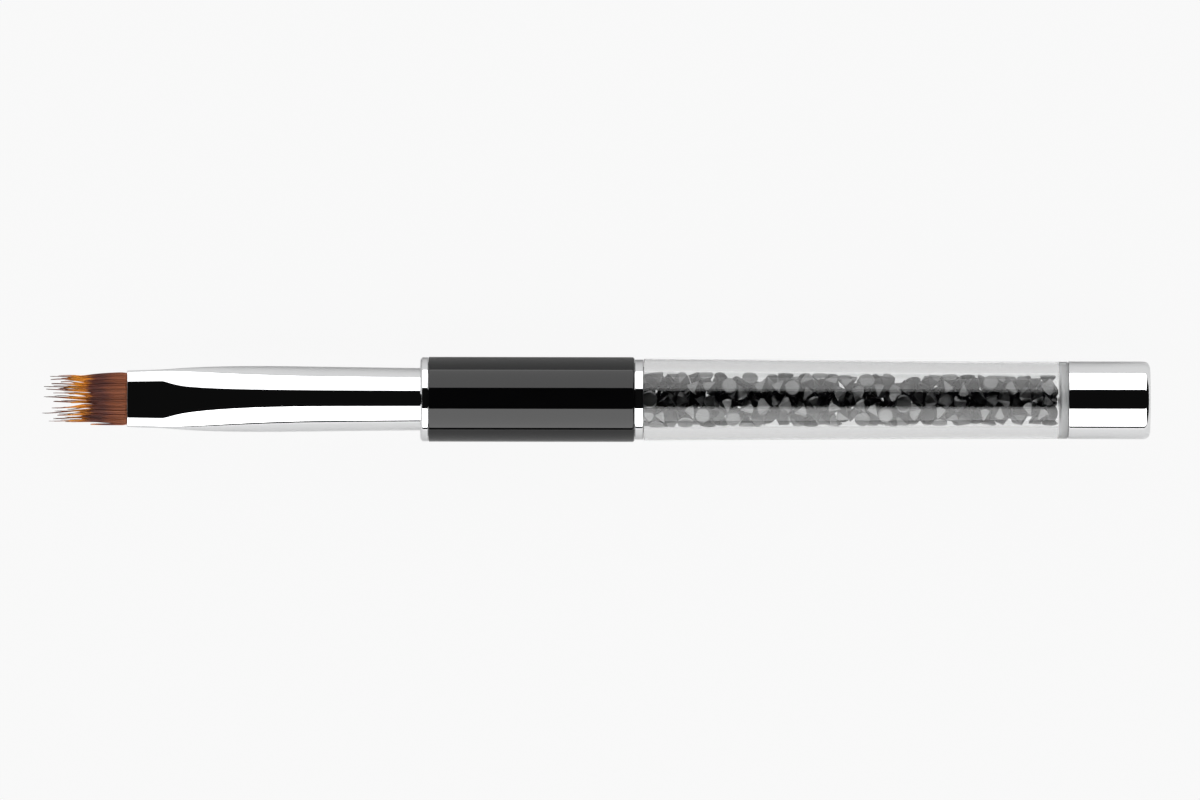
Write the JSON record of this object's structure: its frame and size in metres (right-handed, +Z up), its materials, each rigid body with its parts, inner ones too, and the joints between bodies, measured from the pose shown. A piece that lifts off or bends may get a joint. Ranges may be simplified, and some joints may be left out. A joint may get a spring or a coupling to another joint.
{
  "type": "nail brush",
  "caption": "Flat comb-tipped nail art brush with a crimped metal ferrule, a gloss black grip and a clear acrylic tube handle filled with black cut crystals.",
  "frame": {"origin": "on the surface the brush lies on, below the middle of its length", "axes": "+X along the brush from the bristle tips to the end cap, +Y across the flat bristle head, +Z up"},
  "size_m": [0.1386, 0.0106, 0.0105],
  "materials": {
    "ferrule_chrome": "mirror-polished plating on a drawn tube",
    "ring_chrome": "mirror-polished plating",
    "cap_chrome": "mirror-polished plating on a drawn cup",
    "gloss_black": "high-gloss black lacquer",
    "core_metal": "as turned",
    "filament": "tapered synthetic filaments, brown to amber",
    "resin": "cured epoxy",
    "clear_acrylic": "polished clear acrylic",
    "black_crystal": "polished cut facets"
  },
  "bodies": {
    "handle": {"ferrule": "ferrule_chrome", "front_ring": "ring_chrome", "rear_ring": "ring_chrome", "end_cap": "cap_chrome", "grip_barrel": "gloss_black", "grip_core": "core_metal", "front_plug": "core_metal", "bristle_root": "filament", "glue_plug": "resin", "acrylic_tube": "clear_acrylic", "rear_stopper": "clear_acrylic", "crystal_column": "black_crystal", "crystal_01": "black_crystal", "crystal_02": "black_crystal", "crystal_03": "black_crystal", "crystal_04": "black_crystal", "crystal_05": "black_crystal", "crystal_06": "black_crystal", "crystal_07": "black_crystal", "crystal_08": "black_crystal", "crystal_09": "black_crystal", "crystal_10": "black_crystal", "crystal_11": "black_crystal", "crystal_12": "black_crystal", "crystal_13": "black_crystal", "crystal_14": "black_crystal", "crystal_15": "black_crystal", "crystal_16": "black_crystal", "crystal_17": "black_crystal", "crystal_18": "black_crystal", "crystal_19": "black_crystal", "crystal_20": "black_crystal", "crystal_21": "black_crystal", "crystal_22": "black_crystal", "crystal_23": "black_crystal", "crystal_24": "black_crystal", "crystal_25": "black_crystal", "crystal_26": "black_crystal", "crystal_27": "black_crystal", "crystal_28": "black_crystal", "crystal_29": "black_crystal", "crystal_30": "black_crystal", "crystal_31": "black_crystal", "crystal_32": "black_crystal", "crystal_33": "black_crystal", "crystal_34": "black_crystal"},
    "bristles": {"bristle_tuft_01": "filament", "bristle_tuft_02": "filament", "bristle_tuft_03": "filament", "bristle_tuft_04": "filament", "bristle_tuft_05": "filament", "bristle_tuft_06": "filament", "bristle_tuft_07": "filament", "bristle_tuft_08": "filament", "bristle_tuft_09": "filament", "bristle_tuft_10": "filament", "bristle_tuft_11": "filament", "bristle_tuft_12": "filament", "bristle_tuft_13": "filament"}
  },
  "joints": [
    {"name": "bristle_flex", "type": "hinge", "parent": "handle", "child": "bristles", "pos_m": [-0.05945, 0, 0.00527], "axis": [0, 1, 0], "range_deg": [-30, 30], "stiffness_Nm_per_rad": 0.0002}
  ]
}
